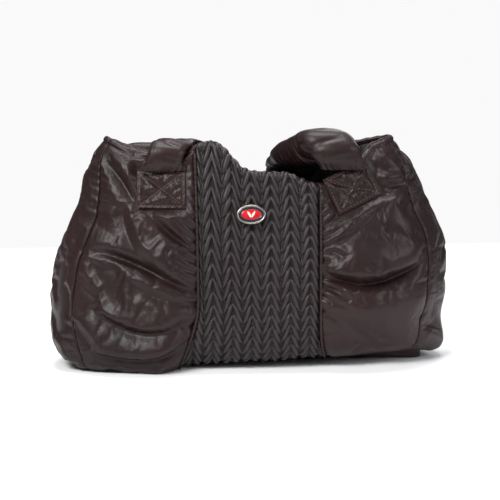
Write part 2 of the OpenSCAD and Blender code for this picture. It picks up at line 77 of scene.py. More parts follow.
# The outer cloth is upright to UNDER_RIM below the mouth's edge, then turns inwards over it in these
# steps, as (off, trim).
UNDER_RIM = 6
RIM_TURN = [(1.9, 4.0), (2.9, 2.3), (4.6, 1.2), (6.4, 1.1), (8.2, 2.4)]
BAND_HALF = 60
BAND_FLARE = 13                             # how much wider each half of the band is on the ground
BAND_SHIFT = 6                              # how far the upper band lies to the right
LEFT, RIGHT = -1, 1
FRONT, BACK = -1, 1
# Height of the mouth's edge, as [share of the way to a corner, sag] from left to right.
FRONT_EDGE = np.array([[-1, 0], [-0.76, 11.5], [-0.62, 12], [-0.42, 10], [-0.36, 6], [-0.27, 3], [-0.2, 6],
                       [-0.12, 17], [-0.05, 29], [0.02, 33], [0.2, 34], [0.33, 44], [0.45, 46],
                       [0.6, 35], [0.69, 23], [0.83, 8], [1, 0]])
BACK_EDGE = np.array([[-1, 0], [-0.77, 19], [-0.62, 22], [-0.5, 38], [-0.4, 47], [0.35, 47],
                      [0.44, 33], [0.62, 11], [0.83, 5], [1, 0]])


def smooth(x):
    x = np.clip(x, 0, 1)
    return x * x * (3 - 2 * x)


def lerp(a, b, f):
    return a + (b - a) * f


def lengths(points):
    """Length along a line of points, up to each of them."""
    steps = np.linalg.norm(np.diff(points, axis=0), axis=1)
    return np.concatenate([[0], np.cumsum(steps)])


def side_name(side):
    return "left" if side == LEFT else "right"


def face_name(face):
    return "front" if face == FRONT else "back"


def taper(z, power):
    """1 at the belly and below it, falling to 0 at the mouth's corners."""
    return 1 - (np.maximum(z - BELLY_Z, 0) / (TOP_Z - BELLY_Z)) ** power


def half_width(z):
    return lerp(MOUTH_X, BODY_X, taper(z, 1.8))


def half_depth(z):
    return lerp(MOUTH_Y, BODY_Y, taper(z, 1.6))


def squareness(z):
    return lerp(2.8, 2.05, z / TOP_Z)


# Angles go round the body: 0 at the front's middle, 90 at the right end, 180 at the back's middle.


def on_face(b, face):
    """Angles given from the middle of the front, moved to the same places on the given face."""
    return b if face == FRONT else np.where(b >= 0, 180 - b, -180 - b)


def foot_angle(share):
    """How far a point has gone round the rounded foot: 90 degrees on the ground and 0 at the belly."""
    return np.radians(90 * (1 - np.clip(share / FOOT, 0, 1)))


def edge_z(b):
    """Height of the mouth's edge at angle b."""
    across = np.sin(np.radians(b))
    front = np.interp(across, FRONT_EDGE[:, 0], FRONT_EDGE[:, 1])
    back = np.interp(across, BACK_EDGE[:, 0], BACK_EDGE[:, 1])
    return TOP_Z - np.where(np.cos(np.radians(b)) > 0, front, back)


def height_at(share, top):
    """Height of a wall's point whose wall ends at top."""
    return np.where(share < FOOT, BELLY_Z * (1 - np.sin(foot_angle(share))),
                    BELLY_Z + (top - BELLY_Z) * (share - FOOT) / (1 - FOOT))


def wall(b, share, off=0.0, trim=0.0):
    """Points of the wall.

    share is 0 on the ground and 1 at the mouth's edge. off is the depth below the outer face, and trim
    is how far below the mouth's edge the wall ends.
    """
    b, share, off, trim = np.broadcast_arrays(np.asarray(b, float), share, off, trim)
    a = foot_angle(share)
    slope = np.stack([np.cos(a) / FOOT_X, np.sin(a) / BELLY_Z])
    inward = slope / np.linalg.norm(slope, axis=0) * off
    low = share < FOOT
    z = height_at(share, edge_z(b) - trim)
    w = np.where(low, BODY_X - FOOT_X * (1 - np.cos(a)) - inward[0], half_width(z) - off)
    d = np.where(low, BODY_Y - FOOT_Y * (1 - np.cos(a)) - inward[0], half_depth(z) - off)
    n = squareness(z)
    s, c = np.sin(np.radians(b)), np.cos(np.radians(b))
    x = np.sign(s) * w * np.abs(s) ** (2 / n)
    y = -np.sign(c) * d * np.abs(c) ** (2 / n)
    return np.stack([x, y, z + np.where(low, inward[1], 0)], -1)


def band_angle(side, face, share):
    """Angle of the band's seam from the middle of its face. It keeps its own x, so it is found in steps."""
    a = foot_angle(share)
    b = np.full(np.shape(share), 22.0)
    for _ in range(4):
        top = edge_z(side * (b if face == FRONT else 180 - b))
        z = height_at(share, top)
        flare = BAND_FLARE * np.maximum(0, 1 - z / 75) ** 2
        reach = BAND_HALF + side * BAND_SHIFT * smooth(z / 70) + flare
        w = np.where(share < FOOT, BODY_X - FOOT_X * (1 - np.cos(a)), half_width(z))
        b = np.degrees(np.arcsin((reach / w) ** (squareness(z) / 2)))
    return b


def gusset_angle(share):
    """Angle of the seam between a side panel and its end gusset."""
    z = height_at(share, TOP_Z - 23)
    part = 0.84 + 0.05 * smooth(z / 60) + 0.08 * smooth((z - 130) / 90)
    return np.degrees(np.arcsin(part ** (squareness(z) / 2)))


def level(z, height, reach):
    """1 at a height, falling off over reach above and below it."""
    return np.exp(-((z - height) / reach) ** 2)


def settle(points):
    """Moves points as the soft body has slumped.

    The left foot is full and pushed forwards, the right one is raised, and the shoulders are narrower.
    """
    x, y, z = np.moveaxis(np.array(points, float), -1, 0)
    left, right = smooth((-x - 60) / 90), smooth((x - 60) / 90)
    foot = np.clip(1 - z / 62, 0, 1) ** 2
    low_front = (1 - smooth(z / 85)) * smooth((-y - 6) / 30)
    widen = 1 + 0.11 * foot * np.maximum(left, right)
    left_in = 9 * left * level(z, 162, 42)
    right_out = right * (7 * level(z, 128, 30) - 6 * level(z, 42, 22))
    forwards = 13 * smooth((-x - 60) / 30) - 5 * smooth((x - 50) / 60)
    raised = (3 + 7 * smooth((x + 70) / 190)) * smooth((x + 75) / 20)
    return np.stack([x * widen + left_in + right_out, y - low_front * forwards, z + low_front * raised], -1)


# ---- Meshes ----

def make_mesh(name, points, faces, material=None, shade_smooth=True):
    mesh = bpy.data.meshes.new(name)
    mesh.from_pydata((np.asarray(points).reshape(-1, 3) * MM).tolist(), [], faces)
    mesh.update()
    obj = bpy.data.objects.new(name, mesh)
    scene.collection.objects.link(obj)
    if shade_smooth:
        mesh.polygons.foreach_set("use_smooth", [True] * len(mesh.polygons))
    if material:
        mesh.materials.append(material)
    return obj


def grid_faces(rows, columns, start=0, loop=False, flip=False):
    faces = []
    for i in range(rows - 1):
        for j in range(columns if loop else columns - 1):
            k = (j + 1) % columns
            face = (start + i * columns + j, start + i * columns + k,
                    start + (i + 1) * columns + k, start + (i + 1) * columns + j)
            faces.append(face[::-1] if flip else face)
    return faces


def shell(name, outer, inner, material, flip=False):
    """A layer of cloth whose rim turns inwards to the rim of the inner grid."""
    rows, columns = outer.shape[:2]
    faces = grid_faces(rows, columns, 0, flip=flip)
    ring = [(0, j) for j in range(columns)] + [(i, columns - 1) for i in range(1, rows)]
    ring += [(rows - 1, j) for j in range(columns - 2, -1, -1)] + [(i, 0) for i in range(rows - 2, 0, -1)]
    rim = [i * columns + j for i, j in ring]
    size, count = rows * columns, len(ring)
    for k in range(count):
        n = (k + 1) % count
        face = (rim[n], rim[k], size + k, size + n)
        faces.append(face[::-1] if flip else face)
    points = np.concatenate([outer.reshape(-1, 3), [inner[i, j] for i, j in ring]])
    return make_mesh(name, points, faces, material)


def tube(name, rings, material, closed=False):
    """A solid from rings of points, with fan caps unless it is closed on itself."""
    rings = np.asarray(rings)
    rows, columns = rings.shape[:2]
    faces = grid_faces(rows, columns, loop=True)
    points = rings.reshape(-1, 3)
    if closed:
        last = (rows - 1) * columns
        faces += [(last + j, last + (j + 1) % columns, (j + 1) % columns, j) for j in range(columns)]
    else:
        points = np.concatenate([points, rings[0].mean(0)[None], rings[-1].mean(0)[None]])
        low, high, last = rows * columns, rows * columns + 1, (rows - 1) * columns
        faces += [((j + 1) % columns, j, low) for j in range(columns)]
        faces += [(last + j, last + (j + 1) % columns, high) for j in range(columns)]
    return make_mesh(name, points, faces, material)


def normals(grid):
    """Unit normals of a grid, pointing away from the body's axis."""
    du = np.gradient(grid, axis=1)
    dv = np.gradient(grid, axis=0)
    n = np.cross(du, dv)
    n /= np.linalg.norm(n, axis=-1, keepdims=True) + 1e-9
    return n


def bumps(points, size, seed=0, detail=3):
    """Smooth noise from -1 to 1 at each point, with lumps of about the given size."""
    flat = np.asarray(points).reshape(-1, 3) / size + seed * 7.31
    values = [noise.fractal(Vector(p), 0.9, 2.1, detail) for p in flat]
    return np.array(values).reshape(np.shape(points)[:-1])


def ridges(points, size, seed=0):
    """Noise from 0 to 1 with sharp crests, as crumpled cloth has."""
    flat = np.asarray(points).reshape(-1, 3) / size + seed * 5.17
    values = [abs(noise.noise(Vector(p))) * 1.4 + abs(noise.noise(Vector(p) * 2.3)) * 0.6 for p in flat]
    return 1 - np.clip(np.array(values), 0, 1).reshape(np.shape(points)[:-1])


def length_across(grid):
    """Length along the middle column of a grid."""
    return lengths(grid[:, grid.shape[1] // 2])


def dress(piece, slot, *nodes, fill=None):
    """Attaches a piece to the bag's body and hides the CAD nodes it stands for. slot and fill, how full it is
    if padded, are not used.
    """
    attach(piece, "bag")
    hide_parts(*nodes)


def paint(material, *nodes):
    """Gives carried-over CAD nodes their material."""
    for name in nodes:
        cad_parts[name].data.materials.clear()
        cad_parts[name].data.materials.append(material)


# ---- Materials ----

def new_material(name, color, roughness, **inputs):
    material = bpy.data.materials.new(name)
    material.use_nodes = True
    shader = material.node_tree.nodes["Principled BSDF"]
    shader.inputs["Base Color"].default_value = (*color, 1)
    shader.inputs["Roughness"].default_value = roughness
    for key, value in inputs.items():
        shader.inputs[key.replace("_", " ")].default_value = value
    return material, material.node_tree, shader


def add_node(tree, kind, **values):
    node = tree.nodes.new(kind)
    for key, value in values.items():
        if key in node.inputs:
            node.inputs[key].default_value = value
        else:
            setattr(node, key, value)
    return node


def object_noise(tree, scale, detail=3.0, stretch=(1, 1, 1)):
    place = add_node(tree, "ShaderNodeTexCoord")
    mapping = add_node(tree, "ShaderNodeMapping")
    mapping.inputs["Scale"].default_value = stretch
    tree.links.new(place.outputs["Object"], mapping.inputs["Vector"])
    texture = add_node(tree, "ShaderNodeTexNoise", Scale=scale, Detail=detail)
    tree.links.new(mapping.outputs["Vector"], texture.inputs["Vector"])
    return texture.outputs["Fac"]


def tint(tree, shader, factor, low, high, at=(0.35, 0.65)):
    """Base colour that runs from low to high over factor."""
    ramp = add_node(tree, "ShaderNodeValToRGB")
    ramp.color_ramp.elements[0].position, ramp.color_ramp.elements[1].position = at
    ramp.color_ramp.elements[0].color = (*low, 1)
    ramp.color_ramp.elements[1].color = (*high, 1)
    tree.links.new(factor, ramp.inputs["Fac"])
    tree.links.new(ramp.outputs["Color"], shader.inputs["Base Color"])


def relief(tree, shader, heights, strength, distance):
    """Bump from several height factors, added up."""
    total = heights[0]
    for height in heights[1:]:
        add = add_node(tree, "ShaderNodeMath", operation="ADD")
        tree.links.new(total, add.inputs[0])
        tree.links.new(height, add.inputs[1])
        total = add.outputs[0]
    bump = add_node(tree, "ShaderNodeBump", Strength=strength, Distance=distance)
    tree.links.new(total, bump.inputs["Height"])
    tree.links.new(bump.outputs["Normal"], shader.inputs["Normal"])


def nylon_material(name, low, high, roughness, gloss):
    material, tree, shader = new_material(name, high, roughness)
    shader.inputs["Specular IOR Level"].default_value = gloss
    tint(tree, shader, object_noise(tree, 9), low, high)
    relief(tree, shader, [object_noise(tree, 110, 3), object_noise(tree, 420, 2)], 0.22, 0.0008)
    return material


def cloth_material(name, low, high, roughness, scale, strength=0.4, distance=0.0006):
    material, tree, shader = new_material(name, high, roughness)
    shader.inputs["Specular IOR Level"].default_value = 0.25
    tint(tree, shader, object_noise(tree, scale), low, high)
    relief(tree, shader, [object_noise(tree, 420, 2), object_noise(tree, 1400, 1)], strength, distance)
    return material


nylon = nylon_material("burgundy_nylon", (0.0108, 0.0044, 0.0044), (0.0195, 0.0082, 0.0086), 0.43, 0.25)


def quilt_material():
    """Satin nylon with shade painted into the stitched lines: darker where the band's quilt attribute is low.
    """
    # low is the painted shade colour of the stitched lines; high is the nylon on the leaves' backs.
    low, high = (0.0028, 0.0018, 0.0018), (0.0205, 0.0138, 0.0146)
    material, tree, shader = new_material("quilted_nylon", high, 0.47)
    shader.inputs["Specular IOR Level"].default_value = 0.34
    height = add_node(tree, "ShaderNodeAttribute", attribute_name="quilt")
    tint(tree, shader, height.outputs["Fac"], low, high, (0.0, 0.6))
    relief(tree, shader, [object_noise(tree, 260, 2), object_noise(tree, 900, 2)], 0.25, 0.0004)
    return material


band_nylon = quilt_material()
lining_cloth = cloth_material("lining_cloth", (0.014, 0.015, 0.018), (0.075, 0.078, 0.085), 0.75, 75)
trim_cloth = cloth_material("trim_cloth", (0.012, 0.006, 0.006), (0.022, 0.011, 0.0105), 0.5, 120)
thread = cloth_material("thread", (0.075, 0.032, 0.024), (0.15, 0.07, 0.05), 0.6, 900)


def metal_material(name, color, roughness):
    material, tree, shader = new_material(name, color, roughness, Metallic=1.0)
    tint(tree, shader, object_noise(tree, 300), tuple(0.85 * c for c in color), color)
    return material


def enamel_material(name, low, high):
    material, tree, shader = new_material(name, high, 0.18)
    shader.inputs["Coat Weight"].default_value = 0.8
    shader.inputs["Coat Roughness"].default_value = 0.06
    tint(tree, shader, object_noise(tree, 260), low, high)
    return material


silver = metal_material("silver", (0.36, 0.35, 0.32), 0.28)
magnet_metal = metal_material("magnet", (0.10, 0.10, 0.11), 0.4)
dark_enamel = enamel_material("dark_enamel", (0.010, 0.010, 0.012), (0.022, 0.022, 0.026))
red_enamel = enamel_material("red_enamel", (0.42, 0.006, 0.012), (0.56, 0.012, 0.020))
cream_enamel = enamel_material("cream_enamel", (0.70, 0.62, 0.46), (0.84, 0.78, 0.62))

# ---- Camera, floor and light ----

VIEW_TURN = math.radians(-4)
VIEW_TILT = math.radians(9)
VIEW_FAR = 1.5
PICTURE_W = 0.509                      # width of the picture at the object, in metres
aim = Vector((0.001, 0.0, 0.112))
camera = bpy.data.objects.new("camera", bpy.data.cameras.new("camera"))
scene.collection.objects.link(camera)
back_off = Vector((math.sin(VIEW_TURN) * math.cos(VIEW_TILT), -math.cos(VIEW_TURN) * math.cos(VIEW_TILT),
                   math.sin(VIEW_TILT)))
camera.location = aim + back_off * VIEW_FAR
camera.rotation_mode = "QUATERNION"
camera.rotation_quaternion = (-back_off).to_track_quat("-Z", "Y")
camera.data.sensor_width = 36
camera.data.lens = 36 * VIEW_FAR / PICTURE_W
scene.camera = camera
scene.view_settings.view_transform = "Standard"


def build_floor(size=1.5):
    bpy.ops.mesh.primitive_plane_add(size=size, location=(0, 0, -0.0005))
    floor = bpy.context.object
    floor.name = "floor"
    floor.data.materials.append(new_material("paper", (0.90, 0.90, 0.90), 0.95)[0])


build_floor()


def soft_light(name, place, look_at, size, power, color=(1, 1, 1)):
    light = bpy.data.lights.new(name, "AREA")
    light.shape = "RECTANGLE"
    light.size, light.size_y = size
    light.energy = power
    light.color = color
    obj = bpy.data.objects.new(name, light)
    obj.location = place
    obj.rotation_mode = "QUATERNION"
    obj.rotation_quaternion = (Vector(look_at) - Vector(place)).to_track_quat("-Z", "Y")
    scene.collection.objects.link(obj)


soft_light("key", (-0.9, -1.2, 1.5), (0, 0, 0.1), (0.9, 0.7), 46)
soft_light("fill", (1.5, -1.0, 0.9), (0, 0, 0.1), (0.6, 0.9), 14, (0.96, 0.97, 1))
soft_light("top", (0.0, 0.2, 1.7), (0, 0, 0.1), (1.0, 0.6), 26)
soft_light("back", (0.7, 1.5, 1.0), (0, 0, 0.1), (0.9, 0.7), 9)


def studio_world():
    """A pale room that looks bright behind the object and lights it only faintly."""
    world = bpy.data.worlds.new("world")
    world.use_nodes = True
    tree = world.node_tree
    room = tree.nodes["Background"]
    room.inputs["Color"].default_value = (0.93, 0.94, 1, 1)
    room.inputs["Strength"].default_value = 0.22
    seen = add_node(tree, "ShaderNodeBackground", Strength=0.95)
    seen.inputs["Color"].default_value = (1, 1, 1, 1)
    ray = add_node(tree, "ShaderNodeLightPath")
    mix = add_node(tree, "ShaderNodeMixShader")
    tree.links.new(ray.outputs["Is Camera Ray"], mix.inputs[0])
    tree.links.new(room.outputs[0], mix.inputs[1])
    tree.links.new(seen.outputs[0], mix.inputs[2])
    tree.links.new(mix.outputs[0], tree.nodes["World Output"].inputs["Surface"])
    scene.world = world


studio_world()

# ---- Gathered puffs ----

# Creases of the two front panels: start, middle and end as (x, z), then depth, width and lip.
# The lip is how far the cloth above a crease bulges over it.
LEFT_CREASES = [
    ((-158, 119), (-112, 106), (-57, 77), 8, 6, 5),     # long lip across the panel
    ((-112, 160), (-86, 140), (-62, 125), 6, 6, 2),     # under the tab
    ((-134, 164), (-122, 128), (-88, 98), 5, 10, 2),    # broad valley beside it
    ((-150, 211), (-133, 188), (-119, 160), 5, 7, 3),   # beside the tab
    ((-158, 66), (-108, 42), (-57, 57), 7, 6, 4),       # low sweep
    ((-153, 26), (-102, 18), (-64, 35), 6, 5, 4),       # over the base puff
    ((-172, 50), (-160, 38), (-150, 28), 4, 5, 2),
    ((-122, 92), (-92, 76), (-58, 69), 4, 6, 2),
    ((-172, 152), (-152, 140), (-134, 130), 3, 10, 1),
    ((-180, 96), (-164, 84), (-146, 70), 3, 10, 1),
]
RIGHT_CREASES = [
    ((67, 101), (112, 86), (162, 104), 10, 6, 7),       # deep crease across
    ((67, 117), (78, 117), (87, 111), 5, 4, 2),
    ((72, 140), (92, 156), (112, 166), 5, 7, 2),        # under the tab
    ((78, 122), (108, 144), (136, 172), 3, 9, 2),
    ((124, 180), (148, 180), (172, 188), 7, 5, 4),      # beside the tab
    ((112, 206), (126, 196), (150, 192), 4, 6, 2),
    ((71, 64), (98, 40), (128, 12), 3, 9, 1),
    ((69, 83), (80, 80), (94, 70), 4, 5, 2),
    ((174, 126), (183, 78), (178, 30), 3, 8, 1),
    ((150, 160), (168, 140), (176, 112), 3, 9, 1),
]
# Short pleats where a panel is gathered into the band, as (z, slope, length, depth).
LEFT_PLEATS = [
    (139, 0.95, 34, 5), (129, 0.85, 24, 5), (119, 0.7, 38, 5), (109, 0.6, 22, 5), (99, 0.5, 30, 5),
    (90, 0.45, 18, 4), (83, 0.4, 26, 4), (69, 0.25, 20, 4), (150, 1.1, 20, 4), (161, 1.2, 16, 4),
    (48, -0.1, 18, 4), (172, 1.2, 14, 3),
]
RIGHT_PLEATS = [
    (150, 0.9, 22, 4), (141, 0.8, 36, 5), (131, 0.6, 26, 5), (122, 0.45, 34, 5), (110, 0.1, 20, 4),
    (93, -0.1, 30, 4), (86, -0.3, 20, 4), (76, -0.5, 30, 4), (60, -0.6, 18, 3), (160, 1.0, 18, 4),
]
PLEAT_W = 3.4
PLEAT_LIP = 1.6
BACK_PLEATS = [(z, (z - 70) / 90, 20 + 14 * math.sin(z), 4.5) for z in range(46, 176, 11)]
PUFF_COLUMNS = 164
FOOT_ROWS = 32
UPPER_ROWS = 70
# Sewn tabs, as (x, z, tilt, face).
TAB_SPOTS = [(-89, 180, 0, FRONT), (99.5, 180, 24, FRONT), (-100, 180, 0, BACK), (100, 180, 0, BACK)]
TAB_W = 48
TAB_H = 38


def bent_line(a, m, b, count=18):
    """Points of a bent line through a, m and b."""
    a, m, b = (np.array(p, float) for p in (a, m, b))
    pull = 2 * m - (a + b) / 2
    t = np.linspace(0, 1, count)[:, None]
    return (1 - t) ** 2 * a + 2 * t * (1 - t) * pull + t ** 2 * b


def line_distance(xz, line):
    """Distance of each point to a line, its share along the line, and 1 above the line or -1 below it."""
    best = np.full(xz.shape[:-1], 1e9)
    share, above = np.zeros_like(best), np.ones_like(best)
    for i, (a, b) in enumerate(zip(line, line[1:])):
        step = b - a
        t = np.clip(((xz - a) @ step) / (step @ step), 0, 1)
        gap = xz - a - t[..., None] * step
        d = np.linalg.norm(gap, axis=-1)
        nearer = d < best
        best = np.where(nearer, d, best)
        share = np.where(nearer, (i + t) / (len(line) - 1), share)
        rise = gap[..., 1] * abs(step[0]) - gap[..., 0] * step[1] * np.sign(step[0])
        above = np.where(nearer, np.sign(rise), above)
    return best, share, above


def swell(d, peak):
    """A bulge that starts at 0 and is highest, at 1, a peak's distance away."""
    return (d / peak) * np.exp(1 - d / peak)


def fold(xz, line, depth, width, lip, fade):
    """Height of one fold, and how close each point is to its valley.

    It is a sharp valley along the line, with the cloth above it bulging over.
    """
    d, share, above = line_distance(xz, line)
    bulge = np.where(above > 0, lip * swell(d, 1.6 * width), 0.45 * lip * swell(d, 2.6 * width))
    height = bulge - depth * np.exp(-(d / width) ** 1.4)
    return fade(share) * height, fade(share) * np.exp(-(d / width) ** 2)


def crease_fade(share):
    return np.sin(np.pi * np.clip(share, 0, 1)) ** 0.5


def pleat_fade(share):
    return (1 - share) ** 0.7


def crease_relief(xz, side, face):
    """Height of all the folds on one face of a panel, and how close each point is to a valley."""
    height, valley = np.zeros(xz.shape[:-1]), np.zeros(xz.shape[:-1])
    front = face == FRONT
    mirror = np.array([1.0 if front else -1.0, 1.0])
    creases = LEFT_CREASES if (side == LEFT) == front else RIGHT_CREASES
    pleats = (LEFT_PLEATS if side == LEFT else RIGHT_PLEATS) if front else BACK_PLEATS
    for start, middle, end, depth, width, lip in creases:
        line = bent_line(start, middle, end)
        h, v = fold(xz * mirror, line, depth, width, lip, crease_fade)
        height, valley = height + h, np.maximum(valley, v)
    for z, slope, length, depth in pleats:
        x = side * (BAND_HALF + side * BAND_SHIFT + 1)
        end = (x + side * length, z + slope * length)
        line = bent_line((x, z), ((x + end[0]) / 2, (z + end[1]) / 2 - 1.5), end, 6)
        h, v = fold(xz, line, depth, PLEAT_W, PLEAT_LIP, pleat_fade)
        height, valley = height + h, np.maximum(valley, v)
    return height, valley


def tab_cover(points, face):
    """1 under a sewn tab and 0 well outside it."""
    cover = np.zeros(points.shape[:-1])
    for x, z, tilt, tab_face in TAB_SPOTS:
        if tab_face != face:
            continue
        a = math.radians(tilt)
        dx, dz = points[..., 0] - x, points[..., 2] - z
        u, v = dx * math.cos(a) + dz * math.sin(a), -dx * math.sin(a) + dz * math.cos(a)
        outside = np.maximum(np.abs(u) - TAB_W / 2, np.abs(v) - TAB_H / 2)
        cover = np.maximum(cover, 1 - smooth(outside / 10))
    return np.where(np.sign(points[..., 1]) == face, cover, 0)


def puff_layout(side):
    """Angles, shares, depths and trims of one side's grid, from the front band seam round to the back one."""
    share = np.concatenate([np.linspace(0, FOOT, FOOT_ROWS), np.linspace(FOOT, 1, UPPER_ROWS)[1:],
                            np.ones(len(RIM_TURN))])
    front, back = band_angle(side, FRONT, share), band_angle(side, BACK, share)
    fine = np.linspace(front[FOOT_ROWS], 180 - back[FOOT_ROWS], 2000)
    along = lengths(wall(side * fine, FOOT))
    even = np.interp(np.linspace(0, along[-1], PUFF_COLUMNS), along, (fine - fine[0]) / (fine[-1] - fine[0]))
    b = front[:, None] + (180 - back - front)[:, None] * even
    whole = np.ones_like(b)
    tip = np.sin(np.radians(b)) ** 6
    end = 5.5 * tip * (1 - smooth((share[:, None] - 0.7) / 0.3))
    off, trim = 3 * whole + end, UNDER_RIM * whole
    for i, (rim_off, rim_trim) in enumerate(RIM_TURN, len(share) - len(RIM_TURN)):
        off[i], trim[i] = rim_off * (1 - 0.6 * tip[i] ** 2), rim_trim
    return side * b, share[:, None] * whole, off, trim


def distance_to_column(grid, column):
    """Distance along each row from the given column of that row, in millimetres."""
    step = np.linalg.norm(np.diff(grid, axis=1), axis=-1)
    along = np.concatenate([np.zeros((len(grid), 1)), np.cumsum(step, axis=1)], axis=1)
    rows = np.arange(len(grid))
    here = along[rows, np.clip(column, 0, grid.shape[1] - 1).astype(int)]
    return np.abs(along - here[:, None])


def add_weights(obj, name, weights):
    """A vertex group with the weights, rounded to a hundredth."""
    group = obj.vertex_groups.new(name=name)
    rounded = np.round(weights.ravel(), 2)
    for weight in np.unique(rounded):
        if weight > 0:
            group.add(np.flatnonzero(rounded == weight).tolist(), float(weight), "REPLACE")


def relax_cloth(name, points, pin, gather, frames=22):
    """Runs a cloth with pressure from inside and returns where its points end up."""
    rows, columns = points.shape[:2]
    cloth_obj = make_mesh(name, points, grid_faces(rows, columns))
    add_weights(cloth_obj, "pin", pin)
    add_weights(cloth_obj, "gather", gather)
    modifier = cloth_obj.modifiers.new("cloth", "CLOTH")
    cloth = modifier.settings
    cloth.quality = 6
    cloth.mass = 0.15
    cloth.tension_stiffness = cloth.compression_stiffness = 12
    cloth.shear_stiffness = 4
    cloth.bending_stiffness = 0.35
    cloth.air_damping = 2
    cloth.vertex_group_mass = "pin"
    cloth.use_pressure = True
    cloth.uniform_pressure_force = 3.5
    cloth.vertex_group_shrink = "gather"
    cloth.shrink_min = -0.03
    cloth.shrink_max = -0.13
    cloth.effector_weights.gravity = 0
    modifier.collision_settings.use_collision = False
    modifier.point_cache.frame_start, modifier.point_cache.frame_end = 1, frames
    for step in range(1, frames + 1):
        scene.frame_set(step)
    evaluated = cloth_obj.evaluated_get(bpy.context.evaluated_depsgraph_get())
    moved = np.zeros(rows * columns * 3)
    evaluated.data.vertices.foreach_get("co", moved)
    scene.frame_set(1)
    bpy.data.objects.remove(cloth_obj)
    return moved.reshape(rows, columns, 3) / MM


CLOTH_REACH = 3.6                       # how far the cloth may move away from the laid-out puff
PUFF_H = 9                              # how far a puff stands out, away from its seams
GUSSET_SEAM = 19                        # a gusset's seam is pulled in only as much as a point this far off


def puff_relief(side, base, out, seam, from_gusset):
    """How far the laid-out cloth of one side stands out, where the tabs lie, and where the valleys run."""
    puff = PUFF_H * (1 - np.exp(-seam / 13))
    face = np.where(base[..., 1] < 0, FRONT, BACK)
    facing = smooth((1 - np.abs(out[..., 0])) * 3)
    front_height, front_valley = crease_relief(base[..., [0, 2]], side, FRONT)
    back_height, back_valley = crease_relief(base[..., [0, 2]], side, BACK)
    folds = np.where(face == FRONT, front_height, 0.8 * back_height) * facing
    valley = np.where(face == FRONT, front_valley, back_valley) * facing
    crumple = 1.8 * bumps(base, 60, side, 2)
    tabs = np.maximum(tab_cover(base, FRONT), tab_cover(base, BACK))
    free = puff + folds * (1 - np.exp(-from_gusset / 10)) + crumple * (1 - np.exp(-seam / 12))
    return free * (1 - tabs) + 2.0 * tabs, tabs, valley


def cut_between(grid, start, stop):
    """The part of a grid between two columns, given for each row, with the same count in every row."""
    rows, columns = grid.shape[:2]
    pick = np.linspace(start, stop, int((stop - start).max()) + 1, axis=1)
    low = np.floor(pick).astype(int)
    high = np.minimum(low + 1, columns - 1)
    row = np.arange(rows)[:, None]
    return lerp(grid[row, low], grid[row, high], (pick - low)[..., None])


def build_puffs(side):
    """The front panel, end gusset and back panel of one side, laid out and relaxed as one cloth."""
    b, share, off, trim = puff_layout(side)
    base = wall(b, share, off, trim)
    inner = wall(b, share, np.maximum(off + 5, 9.5), np.maximum(trim, 3))
    rows, columns = base.shape[:2]
    out = normals(base)
    if np.mean(out[rows // 2, :, 0]) * side < 0:
        out = -out
    gusset = gusset_angle(share[:, 0])
    seam_front = np.array([np.abs(b[i] * side - gusset[i]).argmin() for i in range(rows)])
    seam_back = np.array([np.abs(b[i] * side - (180 - gusset[i])).argmin() for i in range(rows)])
    first, last = np.zeros(rows, int), np.full(rows, columns - 1)
    from_band = np.minimum(distance_to_column(base, first), distance_to_column(base, last))
    from_gusset = np.minimum(distance_to_column(base, seam_front), distance_to_column(base, seam_back))
    up = lengths(base[:, 0])[:, None]
    from_ends = np.minimum(up, up[-1] - up) * np.ones_like(b)
    below_rim = np.maximum(up[-len(RIM_TURN) - 1] - up, 0)
    seam = np.minimum(from_band, GUSSET_SEAM + from_gusset * 1.6)
    seam = np.minimum(seam, np.minimum(from_ends, below_rim) * 1.2)
    lift, tabs, valley = puff_relief(side, base, out, seam, from_gusset)
    shape = base + out * lift[..., None]

    pin = np.where((from_band < 0.5) | (from_ends < 0.5), 1.0, 0.0)
    pin = np.maximum(pin, np.where(tabs > 0.8, 1.0, 0.0))
    pin = np.maximum(pin, 0.5 * np.exp(-from_gusset / 1.5))
    pin = np.maximum(pin, 0.55 * (valley > 0.5))
    gather = np.exp(-from_band / 40)
    step = relax_cloth(f"{side_name(side)}_cloth", shape, pin, gather) - shape
    length = np.linalg.norm(step, axis=-1, keepdims=True)
    shape = shape + step * np.minimum(1, CLOTH_REACH / np.maximum(length, 1e-6))
    shape = settle(shape)
    inner = settle(inner)
    shape[..., 2] = np.maximum(shape[..., 2], 0.4)

    name = side_name(side)
    parts = [(f"front_{name}_panel", f"front_{name}_wadding", first, seam_front),
             (f"{name}_gusset", f"{name}_gusset_wadding", seam_front, seam_back),
             (f"back_{name}_panel", f"back_{name}_wadding", seam_back, last)]
    for title, wadding, start, stop in parts:
        piece = shell(f"{title}_puff", cut_between(shape, start, stop), cut_between(inner, start, stop),
                      nylon, flip=side == LEFT)
        subdivide(piece)
        dress(piece, "nylon", title, wadding, fill=0.6)


def subdivide(obj, levels=1):
    modifier = obj.modifiers.new("smooth", "SUBSURF")
    modifier.levels = modifier.render_levels = levels
    with bpy.context.temp_override(object=obj, active_object=obj, selected_objects=[obj]):
        bpy.ops.object.modifier_apply(modifier=modifier.name)


build_puffs(LEFT)
build_puffs(RIGHT)

# ---- Quilted band ----

LEAF_PITCH = 19.2                       # distance between two columns of leaves
LEAF_STEP = 12.0                        # distance between leaves along a column
LEAF_RISE = 18.0                        # how far a leaf climbs across half a column
LEAF_X = -1.5                           # where one column's stem lies
LEAF_H = 3.4                            # how far a leaf's back stands out
BAND_OFF = 2.2                          # depth of the quilting's stitched lines below the wall's face
BAND_COLUMNS = 176
BAND_STEP = 0.8                         # about the distance between two columns of the band's grid


